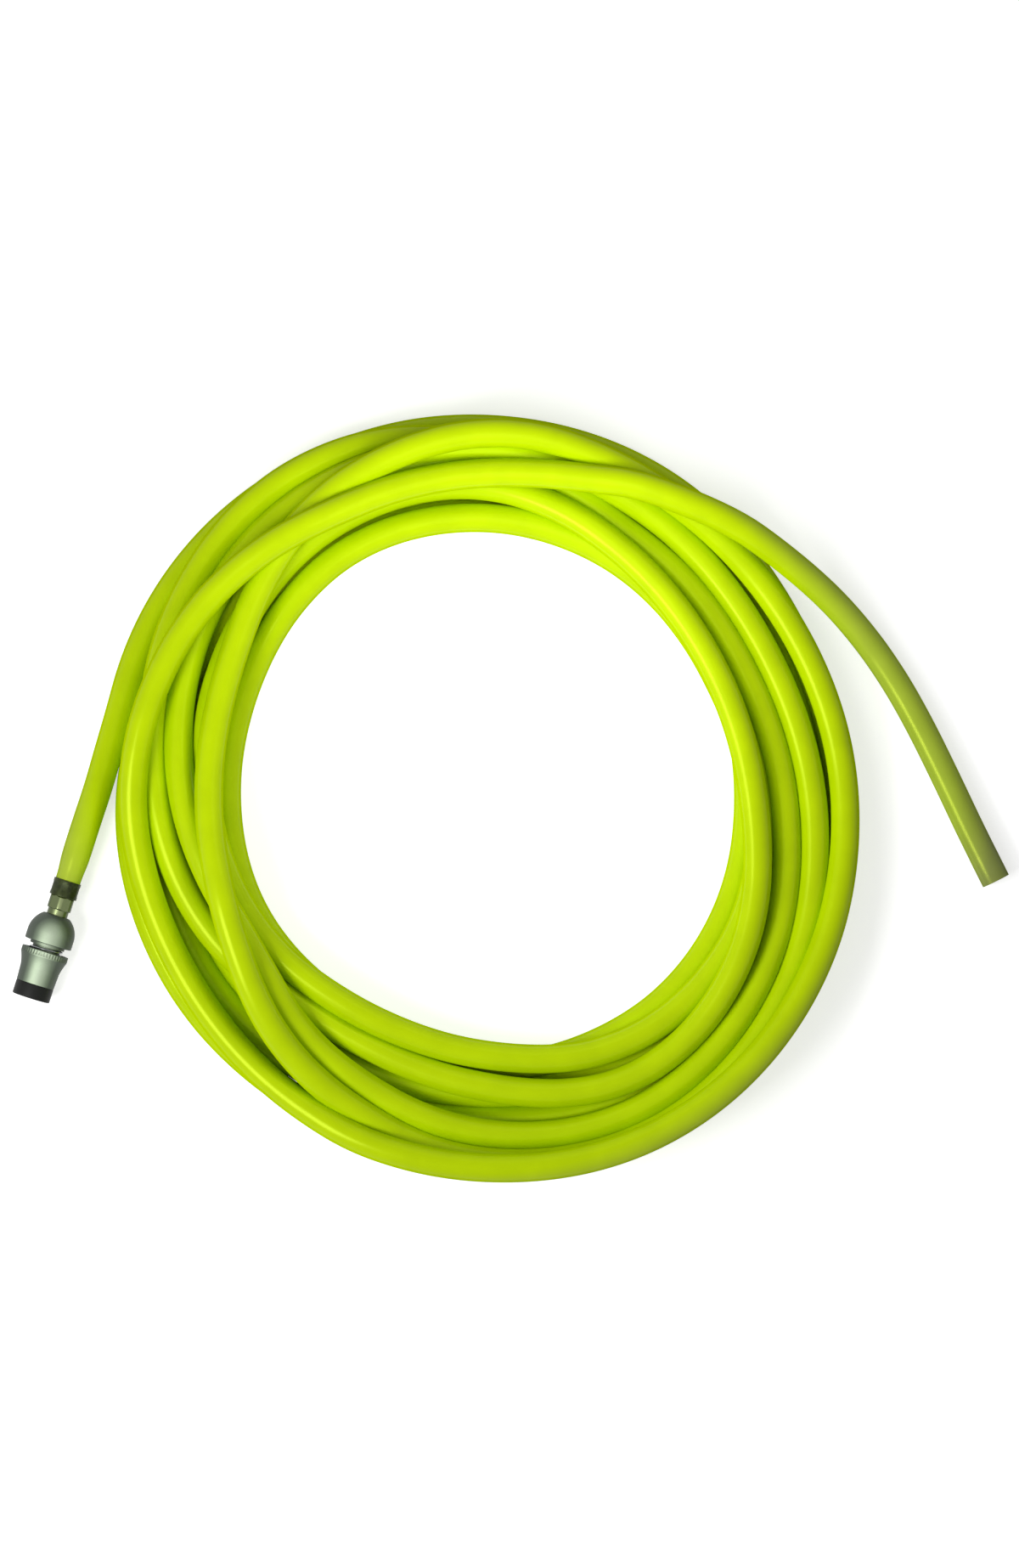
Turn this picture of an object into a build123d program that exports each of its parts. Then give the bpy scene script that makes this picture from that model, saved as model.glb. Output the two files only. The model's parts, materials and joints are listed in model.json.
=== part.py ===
"""Coiled compressed-air hose with a plated quick-release coupling, in millimetres.

The hose is a bright flexible tube wound into a loose round coil of ten turns that
lies flat.  One end leaves the coil as a short stretch with a crimped-on coupling, the other as a
longer stretch that ends in a clean cut across the layers of the hose.

Frame: +Z up, the floor at Z = 0, +X along the longest extent, and the origin at the bottom centre
of the whole object.  The coil and the routes are first laid out about the coil's own centre, and
the coupling along its own X axis, which runs from the hose to the mouth.
"""
import math
import os

from build123d import *

# ---------------------------------------------------------------- driving dimensions
# Hose
hose_diameter = 15.0
hose_bore = 9.0
liner_wall = 1.2
braid_wall = 0.6
cut_end_length = 16.0

# Coil: turns in each tier from the floor up, nested like stacked pipes
turns_in_tier = (4, 3, 2, 1)
coil_mean_radius = 164.5
turn_gap = 3.7
valley_half_angle = 28.0

# Where the two ends leave the coil, as angles from +X seen from above
coupling_leaves_at = 167.0
free_end_leaves_at = 75.0

# Hose stem and crimped ferrule
ferrule_length = 8.8
ferrule_wall = 0.6
squeezed_hose_diameter = 13.2
squeeze_taper_gap = 1.0
squeeze_taper_length = 4.0
hose_neck_length = 18.0
barb_lead_in = 0.6
crimp_flat_count = 8
crimp_depth = 0.25
crimp_margin = 1.9
barb_count = 4
barb_pitch = 5.0
barb_height = 0.4
stem_barb_diameter = 9.2
stem_bore = 6.0
stem_hex = 12.4
stem_hex_length = 7.0
stem_neck_length = 3.2
stem_thread_diameter = 11.0
stem_thread_length = 6.4
valve_spring_pocket_diameter = 9.2
valve_spring_pocket_depth = 5.0

# Rear housing
housing_diameter = 25.0
housing_length = 15.4
housing_nose_diameter = 14.0
housing_shoulder_length = 10.6
barrel_thread_diameter = 16.0
gasket_thickness = 0.6
gasket_inner_gap = 0.8
gasket_outer_gap = 0.1

# Front barrel with the valve seat, the plug's bore and the balls
barrel_diameter = 14.8
barrel_collar_step = 1.8
barrel_collar_length = 1.5
barrel_reach = 27.5
valve_chamber_diameter = 12.0
valve_seat_depth = 1.0
nose_seat_diameter = 7.6
nose_seat_length = 7.5
plug_seal_width = 2.5
plug_seal_diameter = 12.4
plug_seal_opening = 0.1
plug_bore_diameter = 10.2
mouth_chamfer = 0.6

# Locking balls
ball_count = 6
ball_diameter = 3.0
ball_bite = 0.65
ball_back_from_mouth = 12.5
ball_lip_share = 0.3

# Valve poppet
poppet_travel = 3.0
poppet_boss_diameter = 7.0
poppet_head_diameter = 10.4
poppet_head_thickness = 1.2
poppet_body_diameter = 9.0
poppet_body_length = 2.5
poppet_fin_count = 4
poppet_fin_width = 1.6
valve_seal_thickness = 0.7

# Springs
valve_spring_wire = 0.8
valve_spring_turns = 6.0
valve_spring_diameter = 8.6
sleeve_spring_wire = 0.9
sleeve_spring_turns = 4.0
sleeve_spring_inner_gap = 0.6

# Release sleeve, its stop ring and the black nose ring
sleeve_gap = 4.0
sleeve_travel = 3.5
sleeve_length = 18.0
sleeve_grip_diameter = 24.8
sleeve_grip_length = 3.0
sleeve_waist_diameter = 20.8
sleeve_waist_at = 10.0
sleeve_spring_pocket_depth = 6.5
sleeve_pocket_clearance = 0.3
release_groove_length = 1.5
spigot_length = 2.45
nose_ring_length = 7.5
nose_ring_diameter = 20.0
nose_ring_clearance = 0.3
spigot_step = 0.35
stop_ring_width = 1.0
stop_ring_step = 0.9
stop_ring_groove_depth = 0.6
stop_ring_gap_angle = 40.0

# Clearances
running_clearance = 0.05
ball_clearance = 0.05
ball_release_clearance = 0.085
seat_clearance = 0.05
thread_clearance = 0.03
layer_clearance = 0.02
channel_clearance = 0.6
edge_chamfer = 0.5
cut_margin = 1.0

# ---------------------------------------------------------------- sizes that follow
hose_radius = hose_diameter / 2
turn_pitch = hose_diameter + turn_gap
tier_rise = math.sqrt(hose_diameter**2 - (turn_pitch / 2) ** 2)

# Stations along the coupling's own X axis; 0 is the middle of the ferrule
hose_end_x = ferrule_length / 2
housing_x = hose_end_x + stem_hex_length + stem_neck_length
housing_front_x = housing_x + housing_length
stem_front_x = housing_x + stem_thread_length
barrel_back_x = stem_front_x + gasket_thickness
barrel_collar_x = housing_front_x + barrel_collar_length
valve_seat_x = housing_front_x + valve_seat_depth
nose_seat_x = valve_seat_x + nose_seat_length
plug_bore_x = nose_seat_x + plug_seal_width
barrel_front_x = housing_front_x + barrel_reach
ball_x = barrel_front_x - ball_back_from_mouth
sleeve_x = housing_front_x + sleeve_gap
sleeve_front_x = sleeve_x + sleeve_length
spigot_front_x = sleeve_front_x + spigot_length
mouth_x = sleeve_front_x + nose_ring_length
stop_ring_x = spigot_front_x + seat_clearance
pocket_end_x = sleeve_x + sleeve_spring_pocket_depth
barb_start_x = hose_end_x - barb_count * barb_pitch
poppet_front_x = valve_seat_x - seat_clearance
poppet_head_x = poppet_front_x - valve_seal_thickness
poppet_body_x = poppet_head_x - poppet_head_thickness
poppet_back_x = poppet_body_x - poppet_body_length
hose_neck_x = -hose_neck_length

# Radii that fit each other
barrel_radius = barrel_diameter / 2
barrel_collar_radius = barrel_radius + barrel_collar_step
sleeve_spring_diameter = barrel_diameter + 2 * (sleeve_spring_inner_gap + sleeve_spring_wire)
squeezed_radius = squeezed_hose_diameter / 2
barb_radius = stem_barb_diameter / 2
land_radius = barrel_radius + running_clearance * 2
ball_radius = ball_diameter / 2
ball_seat_radius = plug_bore_diameter / 2 - ball_bite + ball_radius
ball_lift = ball_bite + ball_release_clearance
ball_ratio = ball_lift / sleeve_travel
ramp_angle = math.atan(ball_ratio)
ramp_radius = ball_seat_radius + (ball_radius + ball_clearance / 4) / math.cos(ramp_angle)
ramp_start_x = ball_x + (land_radius - ramp_radius) / ball_ratio
ramp_end_x = ball_x + sleeve_travel
ramp_end_radius = ramp_radius + ball_lift
pocket_radius = barrel_collar_radius + sleeve_pocket_clearance
stop_ring_bottom = barrel_radius - stop_ring_groove_depth
stop_ring_radius = barrel_radius + stop_ring_step
nose_ring_inner = stop_ring_radius + nose_ring_clearance
spigot_radius = nose_ring_inner + spigot_step
coupling_axis_z = housing_diameter / 2


def strand_tiers():
    """Centres (radius, height) of the coil's turns, one list for each tier."""
    tiers = []
    for tier, count in enumerate(turns_in_tier):
        first = coil_mean_radius - (count - 1) * turn_pitch / 2
        height = hose_radius + tier * tier_rise
        tiers.append([(first + turn * turn_pitch, height) for turn in range(count)])
    return tiers


def on_circle(centre, radius, degrees):
    """Point of a circle at an angle."""
    angle = math.radians(degrees)
    return (centre[0] + radius * math.cos(angle), centre[1] + radius * math.sin(angle))


def coil_point(degrees, strand):
    """Centre of one strand of the coil at an angle, seen from above."""
    x, y = on_circle((0, 0), strand[0], degrees)
    return (x, y, strand[1])


def beside_coil(strand, degrees, outward, height):
    """Point of a route: an angle about the coil, hose diameters outside a strand, and a height."""
    return coil_point(degrees, (strand[0] + outward * hose_diameter, height))


# Routes of the two ends, about the coil's centre; the first point of each lies on its strand
tiers = strand_tiers()
coupling_strand = tiers[0][-1]
free_strand = tiers[-2][-1]
coupling_rise = coupling_axis_z - hose_radius
free_drop = free_strand[1] - hose_radius

coupling_route = [
    coil_point(coupling_leaves_at, coupling_strand),
    beside_coil(coupling_strand, 172.85, 0.06, hose_radius),
    beside_coil(coupling_strand, 178.60, 0.313, hose_radius + 0.36 * coupling_rise),
    beside_coil(coupling_strand, 183.80, 0.74, coupling_axis_z),
    beside_coil(coupling_strand, 188.50, 1.24, coupling_axis_z),
]
free_route = [
    coil_point(free_end_leaves_at, free_strand),
    beside_coil(free_strand, 66.0, 0.18, free_strand[1]),
    beside_coil(free_strand, 57.0, 0.75, free_strand[1]),
    beside_coil(free_strand, 48.0, 1.30, free_strand[1]),
    beside_coil(free_strand, 39.0, 1.76, free_strand[1]),
    beside_coil(free_strand, 30.0, 2.38, hose_radius + 0.78 * free_drop),
    beside_coil(free_strand, 22.2, 2.957, hose_radius + 0.48 * free_drop),
    beside_coil(free_strand, 11.65, 3.757, hose_radius + 0.12 * free_drop),
    beside_coil(free_strand, 2.5, 4.59, hose_radius),
    beside_coil(free_strand, -3.8, 5.557, hose_radius),
    beside_coil(free_strand, -6.5, 6.063, hose_radius),
]


def route_radii(points):
    """Bend radius at each corner: 0.45 of the shorter run over the tangent of half the turn."""
    radii = []
    for before, corner, after in zip(points, points[1:], points[2:]):
        run_in = Vector(*corner) - Vector(*before)
        run_out = Vector(*after) - Vector(*corner)
        half_turn = math.radians(run_in.get_angle(run_out)) / 2
        radii.append(0.45 * min(run_in.length, run_out.length) / math.tan(half_turn))
    return radii


def routed(points):
    """Smooth path along a route: straight runs joined by tangent arcs."""
    return FilletPolyline(*points, radius=route_radii(points))


def across(path):
    """Plane square to a path at its start."""
    return Plane(origin=path @ 0, z_dir=path % 0)


def hose_along(points):
    """Plain solid tube of the hose along a route."""
    path = routed(points)
    return sweep(across(path) * Circle(hose_radius), path=path)


def channel_along(points, floor_z):
    """Open-topped channel that leaves room for an end of the hose in the coil's solid."""
    plan = [(x, y, 0) for x, y, z in points]
    path = routed(plan)
    top_z = hose_diameter * (len(turns_in_tier) + 1)
    section = Plane(origin=path @ 0, x_dir=(0, 0, 1), z_dir=path % 0)
    slot = Rectangle(top_z - floor_z, hose_diameter + 2 * channel_clearance)
    return sweep(section * Pos((floor_z + top_z) / 2, 0) * slot, path=path)


def coil_section():
    """Half section of the coil: its outer shape with a ridge for each turn that shows."""
    outer = [tier[-1] for tier in tiers]
    top = [centre for centre in reversed(tiers[-1][1:-1])]
    inner = [tier[0] for tier in reversed(tiers) if len(tier) > 1]
    ridges = outer + top + inner
    edges = []
    start_angle = -90.0
    for ridge, following in zip(ridges, ridges[1:] + [None]):
        if following is None:
            end_angle = 270.0
        else:
            towards = math.degrees(math.atan2(following[1] - ridge[1], following[0] - ridge[0])) % 360
            end_angle = towards - valley_half_angle
        while end_angle < start_angle:
            end_angle += 360
        while end_angle - start_angle > 360:
            end_angle -= 360
        begin = on_circle(ridge, hose_radius, start_angle)
        middle = on_circle(ridge, hose_radius, (start_angle + end_angle) / 2)
        end = on_circle(ridge, hose_radius, end_angle)
        edges.append(ThreePointArc(begin, middle, end))
        if following is not None:
            start_angle = (towards + 180 + valley_half_angle) % 360
            if start_angle > 270:
                start_angle -= 360
            edges.append(Line(end, on_circle(following, hose_radius, start_angle)))
    edges.append(Line(end, on_circle(ridges[0], hose_radius, -90.0)))
    return make_face(edges)


def hose_coil():
    """Closed solid of the coil, with channels where the two ends leave it."""
    ring = revolve(Plane.XZ * coil_section(), Axis.Z)
    ring -= channel_along(coupling_route, -1.0)
    ring -= channel_along(free_route[:6], free_strand[1] - hose_radius - channel_clearance)
    return ring


def turned(*profile):
    """Solid turned about the coupling's X axis from a closed outline of (x, radius) points."""
    return revolve(make_face(Polyline(*profile, close=True)), Axis.X)


def tube(x_from, x_to, inner_radius, outer_radius):
    """Plain ring or tube along the coupling's X axis."""
    return turned(
        (x_from, inner_radius), (x_to, inner_radius), (x_to, outer_radius), (x_from, outer_radius)
    )


# ---------------------------------------------------------------- hose ends
def hose_neck():
    """Hollow end of the hose, stretched over the barbs and squeezed by the ferrule."""
    inner = barb_radius + running_clearance
    ferrule_back = -ferrule_length / 2
    return turned(
        (hose_neck_x, hose_bore / 2),
        (barb_start_x - barb_lead_in, hose_bore / 2),
        (barb_start_x, inner),
        (hose_end_x, inner),
        (hose_end_x, squeezed_radius),
        (ferrule_back - squeeze_taper_gap, squeezed_radius),
        (ferrule_back - squeeze_taper_gap - squeeze_taper_length, hose_radius),
        (hose_neck_x, hose_radius),
    )


def cut_end_layers():
    """The liner, the textile braid and the cover at the cut end, along X from the tube's end."""
    liner_outer = hose_bore / 2 + liner_wall
    braid_outer = liner_outer + braid_wall
    return {
        "hose_end_liner": tube(0, cut_end_length, hose_bore / 2, liner_outer),
        "hose_end_braid": tube(
            0, cut_end_length, liner_outer + layer_clearance, braid_outer - layer_clearance
        ),
        "hose_end_cover": tube(0, cut_end_length, braid_outer, hose_radius),
    }


# ---------------------------------------------------------------- coupling, rear half
def hose_stem():
    """Barbed stem with a hexagon, a neck and the screwed end that holds the valve spring."""
    bore = stem_bore / 2
    thread = stem_thread_diameter / 2 - thread_clearance
    pocket = valve_spring_pocket_diameter / 2
    outline = [(barb_start_x, bore), (barb_start_x, barb_radius - barb_height)]
    for barb in range(barb_count):
        crest_x = barb_start_x + (barb + 0.75) * barb_pitch
        outline.append((crest_x, barb_radius))
        outline.append((crest_x, barb_radius - barb_height))
    outline += [
        (hose_end_x, barb_radius - barb_height),
        (hose_end_x, thread),
        (stem_front_x, thread),
        (stem_front_x, pocket),
        (stem_front_x - valve_spring_pocket_depth, pocket),
        (stem_front_x - valve_spring_pocket_depth, bore),
    ]
    hexagon = Plane.YZ.offset(hose_end_x) * RegularPolygon(stem_hex / 2, 6, major_radius=False)
    corner = stem_hex / 2 / math.cos(math.radians(30)) - edge_chamfer
    blank = tube(hose_end_x, hose_end_x + stem_hex_length, bore + cut_margin, corner)
    collar = extrude(hexagon, stem_hex_length) & blank
    return turned(*outline) + collar


def crimp_ferrule():
    """Steel ring pressed round the hose, with the flats that the crimping jaws leave."""
    inner = squeezed_radius + running_clearance
    outer = inner + ferrule_wall
    ring = tube(-ferrule_length / 2, ferrule_length / 2, inner, outer)
    pressed = ferrule_length - 2 * crimp_margin
    plane = Plane.YZ.offset(-pressed / 2)
    jaws = extrude(plane * RegularPolygon(outer - crimp_depth, crimp_flat_count, major_radius=False), pressed)
    ring -= tube(-pressed / 2, pressed / 2, outer - crimp_depth, outer + cut_margin) - jaws
    return ring


def rear_housing():
    """Rounded rear housing that screws onto the stem and takes the barrel's thread."""
    radius = housing_diameter / 2
    nose = housing_nose_diameter / 2
    shoulder_x = housing_x + housing_shoulder_length
    thread = stem_thread_diameter / 2
    socket = barrel_thread_diameter / 2
    rise = radius - nose
    arc_radius = (housing_shoulder_length**2 + rise**2) / (2 * rise)
    bend = math.asin(housing_shoulder_length / arc_radius) / 2
    half_way = (shoulder_x - arc_radius * math.sin(bend), radius - arc_radius * (1 - math.cos(bend)))
    edges = [
        Line((housing_x, thread), (housing_x, nose)),
        ThreePointArc((housing_x, nose), half_way, (shoulder_x, radius)),
        Line((shoulder_x, radius), (housing_front_x - edge_chamfer, radius)),
        Line((housing_front_x - edge_chamfer, radius), (housing_front_x, radius - edge_chamfer)),
        Line((housing_front_x, radius - edge_chamfer), (housing_front_x, socket)),
        Line((housing_front_x, socket), (stem_front_x, socket)),
        Line((stem_front_x, socket), (stem_front_x, thread)),
        Line((stem_front_x, thread), (housing_x, thread)),
    ]
    return revolve(make_face(edges), Axis.X)


def housing_gasket():
    """Flat gasket between the rear housing's shoulder and the barrel."""
    inner = stem_thread_diameter / 2 + gasket_inner_gap
    outer = barrel_thread_diameter / 2 - gasket_outer_gap
    return tube(stem_front_x, barrel_back_x, inner, outer)


# ---------------------------------------------------------------- coupling, front half
def ball_directions():
    """Angles of the balls about the coupling's axis."""
    return [ball * 360 / ball_count for ball in range(ball_count)]


def front_barrel():
    """Barrel with the valve chamber and seat, the plug's bore, the ball holes and a ring groove."""
    thread = barrel_thread_diameter / 2 - thread_clearance
    chamber = valve_chamber_diameter / 2
    seat = nose_seat_diameter / 2
    gland = plug_seal_diameter / 2
    bore = plug_bore_diameter / 2
    barrel = turned(
        (barrel_back_x, chamber),
        (barrel_back_x, thread),
        (housing_front_x, thread),
        (housing_front_x, barrel_collar_radius),
        (barrel_collar_x, barrel_collar_radius),
        (barrel_collar_x, barrel_radius),
        (stop_ring_x, barrel_radius),
        (stop_ring_x, stop_ring_bottom),
        (stop_ring_x + stop_ring_width, stop_ring_bottom),
        (stop_ring_x + stop_ring_width, barrel_radius),
        (barrel_front_x, barrel_radius),
        (barrel_front_x, bore + mouth_chamfer),
        (barrel_front_x - mouth_chamfer, bore),
        (plug_bore_x, bore),
        (plug_bore_x, gland),
        (nose_seat_x, gland),
        (nose_seat_x, seat),
        (valve_seat_x, seat),
        (valve_seat_x, chamber),
    )
    lip_start = ball_radius * ball_lip_share
    lip_end = ball_seat_radius - bore
    lip_radius = math.sqrt(ball_radius**2 - lip_end**2) + ball_clearance
    hole_radius = ball_radius + ball_clearance
    hole = revolve(
        make_face(
            Polyline(
                (ball_x, bore - cut_margin),
                (ball_x + lip_radius, bore - cut_margin),
                (ball_x + lip_radius, bore),
                (ball_x + hole_radius, ball_seat_radius - lip_start),
                (ball_x + hole_radius, barrel_radius + cut_margin),
                (ball_x, barrel_radius + cut_margin),
                close=True,
            )
        ),
        Axis((ball_x, 0, 0), (0, 1, 0)),
    )
    for direction in ball_directions():
        barrel -= Rot(direction, 0, 0) * hole
    return barrel


def locking_balls():
    """Steel balls that hold the plug, resting on the sleeve's land."""
    ball = Pos(ball_x, ball_seat_radius, 0) * Sphere(ball_radius)
    return {
        f"locking_ball_{number}": Rot(direction, 0, 0) * ball
        for number, direction in enumerate(ball_directions(), start=1)
    }


def plug_seal():
    """Seal ring that grips the nose of the plug."""
    inner = nose_seat_diameter / 2 + plug_seal_opening
    outer = plug_seal_diameter / 2 - layer_clearance
    return tube(nose_seat_x + layer_clearance, plug_bore_x - layer_clearance, inner, outer)


def valve_poppet():
    """Poppet that the plug's nose pushes back, guided by fins in the valve chamber."""
    boss = poppet_boss_diameter / 2
    guide = valve_chamber_diameter / 2 - running_clearance
    poppet = turned(
        (poppet_back_x, 0),
        (poppet_back_x, poppet_body_diameter / 2),
        (poppet_body_x, poppet_body_diameter / 2),
        (poppet_body_x, poppet_head_diameter / 2),
        (poppet_head_x, poppet_head_diameter / 2),
        (poppet_head_x, boss),
        (poppet_front_x, boss),
        (poppet_front_x, 0),
    )
    fin = Pos(poppet_back_x, 0, 0) * Box(
        poppet_body_length, guide * 2, poppet_fin_width, align=(Align.MIN, Align.CENTER, Align.CENTER)
    )
    rim = tube(poppet_back_x, poppet_body_x, 0.0, guide)
    for direction in range(0, 180, 360 // poppet_fin_count):
        poppet += (Rot(direction, 0, 0) * fin) & rim
    return poppet


def valve_seal():
    """Rubber washer on the poppet's head, which closes on the barrel's seat."""
    inner = poppet_boss_diameter / 2 + running_clearance
    return tube(poppet_head_x, poppet_front_x, inner, poppet_head_diameter / 2)


def coil_spring(x_from, x_to, outer_diameter, wire, turns):
    """Round-wire compression spring between two faces."""
    mean_radius = (outer_diameter - wire) / 2
    height = x_to - x_from - wire
    helix = Helix(pitch=height / turns, height=height, radius=mean_radius)
    path = Location((x_from + wire / 2, 0, 0), (0, 90, 0)) * helix
    return sweep(Plane(origin=path @ 0, z_dir=path % 0) * Circle(wire / 2), path=path)


def valve_spring():
    """Spring that holds the poppet on its seat."""
    bottom = stem_front_x - valve_spring_pocket_depth
    return coil_spring(bottom, poppet_back_x, valve_spring_diameter, valve_spring_wire, valve_spring_turns)


def sleeve_spring():
    """Spring that pushes the release sleeve forward, from the barrel's collar."""
    return coil_spring(
        barrel_collar_x, pocket_end_x, sleeve_spring_diameter, sleeve_spring_wire, sleeve_spring_turns
    )


def stop_ring():
    """Split ring in the barrel's groove that stops the sleeve."""
    ring = tube(
        stop_ring_x + layer_clearance,
        stop_ring_x + stop_ring_width - layer_clearance,
        stop_ring_bottom + layer_clearance,
        stop_ring_radius,
    )
    reach = 2 * stop_ring_radius
    half = math.radians(stop_ring_gap_angle / 2)
    wedge = make_face(
        Polyline(
            (0, 0),
            (reach * math.cos(half), reach * math.sin(half)),
            (reach * math.cos(half), -reach * math.sin(half)),
            close=True,
        )
    )
    return ring - extrude(Plane.YZ.offset(stop_ring_x) * wedge, stop_ring_width)


def release_sleeve():
    """Sliding sleeve: spring pocket, land over the balls, release ramp and the spigot in front."""
    grip = sleeve_grip_diameter / 2
    waist = sleeve_waist_diameter / 2
    front = nose_ring_diameter / 2
    grip_end_x = sleeve_x + sleeve_grip_length
    waist_x = sleeve_x + sleeve_waist_at
    middle = ((grip_end_x + waist_x) / 2, waist + (grip - waist) * 0.38)
    groove_end_x = ramp_end_x + release_groove_length
    edges = [
        Line((sleeve_x, pocket_radius), (sleeve_x, grip - edge_chamfer)),
        Line((sleeve_x, grip - edge_chamfer), (sleeve_x + edge_chamfer, grip)),
        Line((sleeve_x + edge_chamfer, grip), (grip_end_x, grip)),
        ThreePointArc((grip_end_x, grip), middle, (waist_x, waist)),
        Line((waist_x, waist), (sleeve_front_x, front)),
        Line((sleeve_front_x, front), (sleeve_front_x, spigot_radius)),
        Line((sleeve_front_x, spigot_radius), (spigot_front_x, spigot_radius)),
        Line((spigot_front_x, spigot_radius), (spigot_front_x, land_radius)),
        Line((spigot_front_x, land_radius), (groove_end_x, land_radius)),
        Line((groove_end_x, land_radius), (groove_end_x, ramp_end_radius)),
        Line((groove_end_x, ramp_end_radius), (ramp_end_x, ramp_end_radius)),
        Line((ramp_end_x, ramp_end_radius), (ramp_start_x, land_radius)),
        Line((ramp_start_x, land_radius), (pocket_end_x, land_radius)),
        Line((pocket_end_x, land_radius), (pocket_end_x, pocket_radius)),
        Line((pocket_end_x, pocket_radius), (sleeve_x, pocket_radius)),
    ]
    return revolve(make_face(edges), Axis.X)


def nose_ring():
    """Black ring round the mouth, pressed on the sleeve's spigot."""
    radius = nose_ring_diameter / 2
    spigot = spigot_radius + layer_clearance
    return turned(
        (sleeve_front_x, spigot),
        (sleeve_front_x, radius),
        (mouth_x - edge_chamfer, radius),
        (mouth_x, radius - edge_chamfer),
        (mouth_x, nose_ring_inner),
        (spigot_front_x + layer_clearance, nose_ring_inner),
        (spigot_front_x + layer_clearance, spigot),
    )


# ---------------------------------------------------------------- assembly
def coupling_location():
    """Place of the coupling: its axis follows on from the last run of its route."""
    end = Vector(*coupling_route[-1])
    run = end - Vector(*coupling_route[-2])
    yaw = math.degrees(math.atan2(run.Y, run.X))
    origin = end - run.normalized() * hose_neck_x
    return Location((origin.X, origin.Y, origin.Z), (0, 0, yaw))


def cut_end_location():
    """Place of the cut end's layers: in line with the last run of the free route."""
    end = Vector(*free_route[-1])
    run = end - Vector(*free_route[-2])
    yaw = math.degrees(math.atan2(run.Y, run.X))
    return Location((end.X, end.Y, end.Z), (0, 0, yaw))


def build():
    """Every node by name, in the object's own frame."""
    nodes = {
        "hose_coil": hose_coil(),
        "coupling_tail": hose_along(coupling_route),
        "free_tail": hose_along(free_route),
    }
    at_cut_end = cut_end_location()
    for name, layer in cut_end_layers().items():
        nodes[name] = at_cut_end * layer
    coupling = {
        "hose_neck": hose_neck(),
        "hose_stem": hose_stem(),
        "crimp_ferrule": crimp_ferrule(),
        "rear_housing": rear_housing(),
        "housing_gasket": housing_gasket(),
        "front_barrel": front_barrel(),
        "plug_seal": plug_seal(),
        "valve_poppet": valve_poppet(),
        "valve_seal": valve_seal(),
        "valve_spring": valve_spring(),
        "sleeve_spring": sleeve_spring(),
        "stop_ring": stop_ring(),
        "release_sleeve": release_sleeve(),
        "nose_ring": nose_ring(),
    }
    coupling.update(locking_balls())
    at_coupling = coupling_location()
    for name, piece in coupling.items():
        nodes[name] = at_coupling * piece
    low = [min(getattr(n.bounding_box().min, axis) for n in nodes.values()) for axis in "XYZ"]
    high = [max(getattr(n.bounding_box().max, axis) for n in nodes.values()) for axis in "XYZ"]
    shift = Pos(-(low[0] + high[0]) / 2, -(low[1] + high[1]) / 2, -low[2])
    return {name: shift * node for name, node in nodes.items()}, shift


def report_routes():
    """Bend radii and volumes of the two tubes, against section times length."""
    for name, points in (("coupling_tail", coupling_route), ("free_tail", free_route)):
        path = routed(points)
        radii = ", ".join(f"{radius:.0f}" for radius in route_radii(points))
        expected = math.pi * hose_radius**2 * path.length
        print(f"{name}: length {path.length:.1f}, radii {radii}, volume should be {expected:.0f}")


if __name__ == "__main__":
    report_routes()
    os.makedirs("parts", exist_ok=True)
    parts, shift = build()
    print("shift", shift.position)
    for node_name, solid in parts.items():
        export_step(solid, f"parts/{node_name}.step")
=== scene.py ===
"""Looks of a coiled compressed-air hose with a plated quick-release coupling.

The hose is one smooth line from the coupling to its cut end.  Its turns are laid one after another
on the floor and on each other, and then settle into the valleys between the turns below them.
Lengths are in metres, in the same frame as the solids: +Z up and the floor at Z = 0.  Only the
turned pieces and the coil's radii are given in millimetres.
"""
import json
import math
import bmesh
import bpy
import numpy as np
from mathutils import Matrix, Vector


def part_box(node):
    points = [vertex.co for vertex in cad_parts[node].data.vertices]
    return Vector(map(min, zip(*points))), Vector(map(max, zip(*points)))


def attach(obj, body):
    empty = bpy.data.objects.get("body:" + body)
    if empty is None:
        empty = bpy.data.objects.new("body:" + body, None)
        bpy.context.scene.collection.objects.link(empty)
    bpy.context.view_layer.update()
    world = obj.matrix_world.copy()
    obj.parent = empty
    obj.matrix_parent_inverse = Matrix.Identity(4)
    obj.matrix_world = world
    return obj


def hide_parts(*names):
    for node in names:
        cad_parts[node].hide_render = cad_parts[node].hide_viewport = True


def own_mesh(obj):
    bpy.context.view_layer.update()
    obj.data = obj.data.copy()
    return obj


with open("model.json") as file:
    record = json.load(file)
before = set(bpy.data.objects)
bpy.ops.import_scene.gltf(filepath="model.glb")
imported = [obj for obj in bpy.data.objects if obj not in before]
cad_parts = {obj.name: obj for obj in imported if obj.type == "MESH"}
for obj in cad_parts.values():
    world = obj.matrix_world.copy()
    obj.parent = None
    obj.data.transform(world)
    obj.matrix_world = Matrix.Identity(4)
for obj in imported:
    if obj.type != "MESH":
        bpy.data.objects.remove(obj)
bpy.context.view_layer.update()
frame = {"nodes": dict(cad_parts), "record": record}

# ---------------------------------------------------------------- sizes
mm = 0.001

# Hose
hose_diameter = 15 * mm
hose_radius = hose_diameter / 2

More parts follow.
